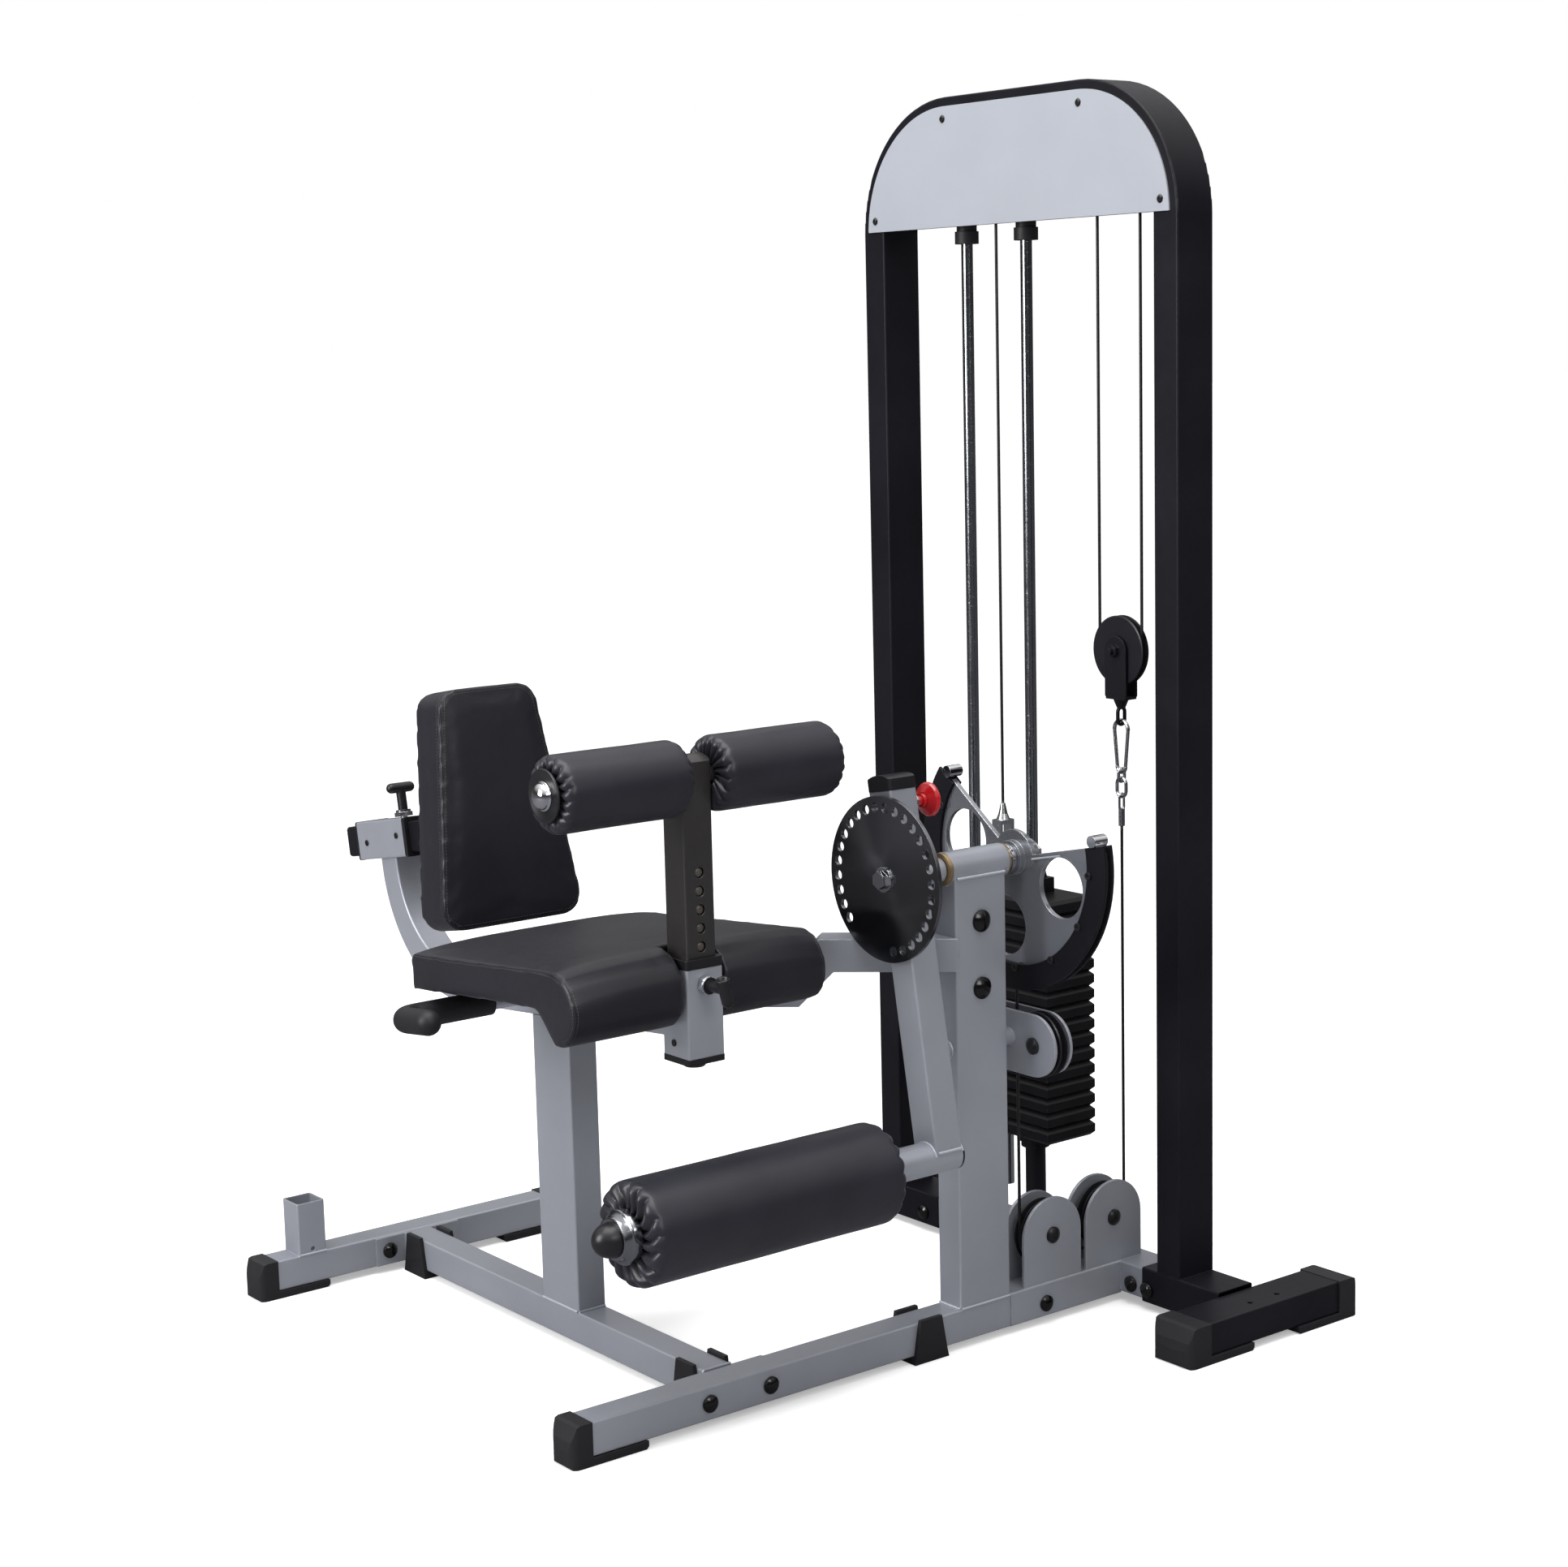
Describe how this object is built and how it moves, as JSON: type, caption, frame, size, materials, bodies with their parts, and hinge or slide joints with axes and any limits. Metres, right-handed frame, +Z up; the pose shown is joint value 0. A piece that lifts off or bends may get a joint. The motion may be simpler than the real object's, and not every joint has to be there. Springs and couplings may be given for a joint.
{
  "type": "leg extension and leg curl machine",
  "caption": "Seated leg extension and leg curl machine: padded seat and back, thigh and shin rollers, lever arm with hole disc and cam, cable drive and a pin-selected weight tower.",
  "frame": {"origin": "centre of the footprint, on the floor", "axes": "+Z up; the user sits facing -Y; +X runs from the seat to the weight tower; the lever pivots about X"},
  "size_m": [1.2978, 1.35, 1.927],
  "materials": {
    "silver_paint": "satin metallic silver-grey powder coat",
    "black_paint": "semi-gloss black powder coat",
    "post_paint": "satin black-brown powder coat",
    "cam_paint": "glossy silver-grey paint with bright worn edges",
    "sign_paint": "pale silver satin sheet",
    "chrome": "polished chrome plate",
    "zinc_steel": "bright zinc-plated steel",
    "bronze": "sintered bronze",
    "black_steel": "black oxide",
    "plate_iron": "black coated cast iron",
    "black_rubber": "moulded black rubber",
    "black_plastic": "moulded black plastic",
    "pulley_plastic": "glass-filled black nylon",
    "knob_red": "glossy red",
    "cable_sheath": "black nylon sheath over steel cable",
    "roller_vinyl": "black fine-grain vinyl sleeve over foam",
    "pad_vinyl": "black fine-grain upholstery vinyl over foam"
  },
  "bodies": {
    "frame": {"base_frame": "silver_paint", "seat_frame": "silver_paint", "seat_carrier": "silver_paint", "rear_base": "silver_paint", "brace_tube": "silver_paint", "pulley_base": "silver_paint", "tower_frame": "black_paint", "head_bracket": "black_paint", "sign_panel": "sign_paint", "sign_screws": "black_steel", "guide_rods": "chrome", "rod_collars": "black_rubber", "stack_risers": "black_paint", "weight_plates": "plate_iron", "stack_cable": "cable_sheath", "block_cables": "cable_sheath", "head_cable": "cable_sheath", "drive_cable": "cable_sheath", "drive_cable_riser": "cable_sheath", "pulley_axles": "black_steel", "bearing_bushes": "bronze", "seat_pad": "pad_vinyl", "slide_liners": "black_plastic", "handle_bars": "silver_paint", "handle_grips": "black_rubber", "end_caps": "black_rubber", "saddle_feet": "black_rubber", "frame_bolts": "black_plastic"},
    "stack": {"picked_plates": "plate_iron", "head_plate": "plate_iron", "selector_stem": "zinc_steel", "stack_swivel": "zinc_steel"},
    "selector": {"selector_pin": "knob_red"},
    "cam": {"pivot_shaft": "chrome", "cam_plate": "cam_paint", "cam_rim": "black_paint", "cam_screws": "black_steel", "rom_disc": "chrome", "cam_cable": "cable_sheath"},
    "lever": {"lever_arm": "silver_paint", "lever_caps": "black_plastic", "leg_roller_collar": "chrome"},
    "lock_knob": {"rom_knob": "knob_red"},
    "shin_roller": {"leg_roller": "roller_vinyl"},
    "block": {"block_housing": "black_paint", "block_link": "zinc_steel"},
    "block_wheel": {"block_pulley": "pulley_plastic"},
    "head_wheel_front": {"head_pulley_front": "pulley_plastic"},
    "head_wheel_rear": {"head_pulley_rear": "pulley_plastic"},
    "floor_wheel_inner": {"floor_pulley_inner": "pulley_plastic"},
    "floor_wheel_outer": {"floor_pulley_outer": "pulley_plastic"},
    "mid_wheel_front": {"mid_pulley_front": "pulley_plastic"},
    "mid_wheel_rear": {"mid_pulley_rear": "pulley_plastic"},
    "thigh_post": {"hold_down_post": "post_paint"},
    "thigh_lock": {"hold_down_pin": "black_plastic"},
    "thigh_left": {"thigh_roller_left": "roller_vinyl"},
    "thigh_right": {"thigh_roller_right": "roller_vinyl"},
    "back_rest": {"back_pad": "pad_vinyl", "back_slider": "black_paint"},
    "back_lock": {"back_pin": "black_plastic"}
  },
  "joints": [
    {"name": "stack_lift", "type": "slide", "parent": "frame", "child": "stack", "axis": [0, 0, 1], "range_m": [0, 0.58], "deforming": ["stack_cable"]},
    {"name": "block_slide", "type": "slide", "parent": "frame", "child": "block", "axis": [0, 0, -1], "range_m": [0, 0.3], "deforming": ["block_cables", "drive_cable_riser"]},
    {"name": "selector_pull", "type": "slide", "parent": "stack", "child": "selector", "axis": [-1, 0, 0], "range_m": [0, 0.13]},
    {"name": "cam_turn", "type": "hinge", "parent": "frame", "child": "cam", "pos_m": [0.0752, -0.35187, 0.75], "axis": [-1, 0, 0], "range_deg": [0, 83.5]},
    {"name": "arm_adjust", "type": "hinge", "parent": "cam", "child": "lever", "pos_m": [0.0752, -0.35187, 0.75], "axis": [-1, 0, 0], "range_deg": [0, 24]},
    {"name": "lock_knob_pull", "type": "slide", "parent": "lever", "child": "lock_knob", "axis": [1, 0, 0], "range_m": [0, 0.012]},
    {"name": "shin_roller_spin", "type": "hinge", "parent": "lever", "child": "shin_roller", "pos_m": [-0.3248, -0.42353, 0.33514], "axis": [1, 0, 0], "continuous": true},
    {"name": "block_wheel_turn", "type": "hinge", "parent": "block", "child": "block_wheel", "pos_m": [0.4498, -0.35187, 1.05], "axis": [1, 0, 0], "range_deg": [0, 357.8]},
    {"name": "head_wheel_front_turn", "type": "hinge", "parent": "frame", "child": "head_wheel_front", "pos_m": [0.4498, -0.26087, 1.8], "axis": [1, 0, 0], "range_deg": [0, 747.3]},
    {"name": "head_wheel_rear_turn", "type": "hinge", "parent": "frame", "child": "head_wheel_rear", "pos_m": [0.4498, -0.11637, 1.8], "axis": [1, 0, 0], "range_deg": [0, 747.3]},
    {"name": "floor_wheel_inner_turn", "type": "hinge", "parent": "frame", "child": "floor_wheel_inner", "pos_m": [0.2687, -0.35187, 0.141], "axis": [0, 1, 0], "range_deg": [0, 350.3]},
    {"name": "floor_wheel_outer_turn", "type": "hinge", "parent": "frame", "child": "floor_wheel_outer", "pos_m": [0.4023, -0.35187, 0.141], "axis": [0, 1, 0], "range_deg": [0, 350.3]},
    {"name": "mid_wheel_front_turn", "type": "hinge", "parent": "frame", "child": "mid_wheel_front", "pos_m": [0.2212, -0.40737, 0.464], "axis": [-1, 0, 0], "range_deg": [0, 350.3]},
    {"name": "mid_wheel_rear_turn", "type": "hinge", "parent": "frame", "child": "mid_wheel_rear", "pos_m": [0.2212, -0.29637, 0.464], "axis": [1, 0, 0], "continuous": true},
    {"name": "thigh_post_slide", "type": "slide", "parent": "frame", "child": "thigh_post", "axis": [0, 0, 1], "range_m": [-0.135, 0.027]},
    {"name": "thigh_lock_pull", "type": "slide", "parent": "frame", "child": "thigh_lock", "axis": [0, -1, 0], "range_m": [0, 0.01]},
    {"name": "thigh_left_spin", "type": "hinge", "parent": "thigh_post", "child": "thigh_left", "pos_m": [-0.4802, -0.29987, 0.935], "axis": [1, 0, 0], "continuous": true},
    {"name": "thigh_right_spin", "type": "hinge", "parent": "thigh_post", "child": "thigh_right", "pos_m": [-0.2202, -0.29987, 0.935], "axis": [1, 0, 0], "continuous": true},
    {"name": "back_rest_slide", "type": "slide", "parent": "frame", "child": "back_rest", "axis": [0, -0.986, 0.1668], "range_m": [-0.0508, 0.0762]},
    {"name": "back_lock_pull", "type": "slide", "parent": "frame", "child": "back_lock", "axis": [0, 0.1668, 0.986], "range_m": [0, 0.01]}
  ],
  "couplings": [
    {"joint": "block_slide", "follows": "stack_lift", "ratio": 0.5},
    {"joint": "cam_turn", "follows": "stack_lift", "rad_per_m": 2.5},
    {"joint": "block_wheel_turn", "follows": "stack_lift", "rad_per_m": 10.753},
    {"joint": "head_wheel_front_turn", "follows": "stack_lift", "rad_per_m": 22.472},
    {"joint": "head_wheel_rear_turn", "follows": "stack_lift", "rad_per_m": 22.472},
    {"joint": "floor_wheel_inner_turn", "follows": "stack_lift", "rad_per_m": 10.526},
    {"joint": "floor_wheel_outer_turn", "follows": "stack_lift", "rad_per_m": 10.526},
    {"joint": "mid_wheel_front_turn", "follows": "stack_lift", "rad_per_m": 10.526}
  ]
}
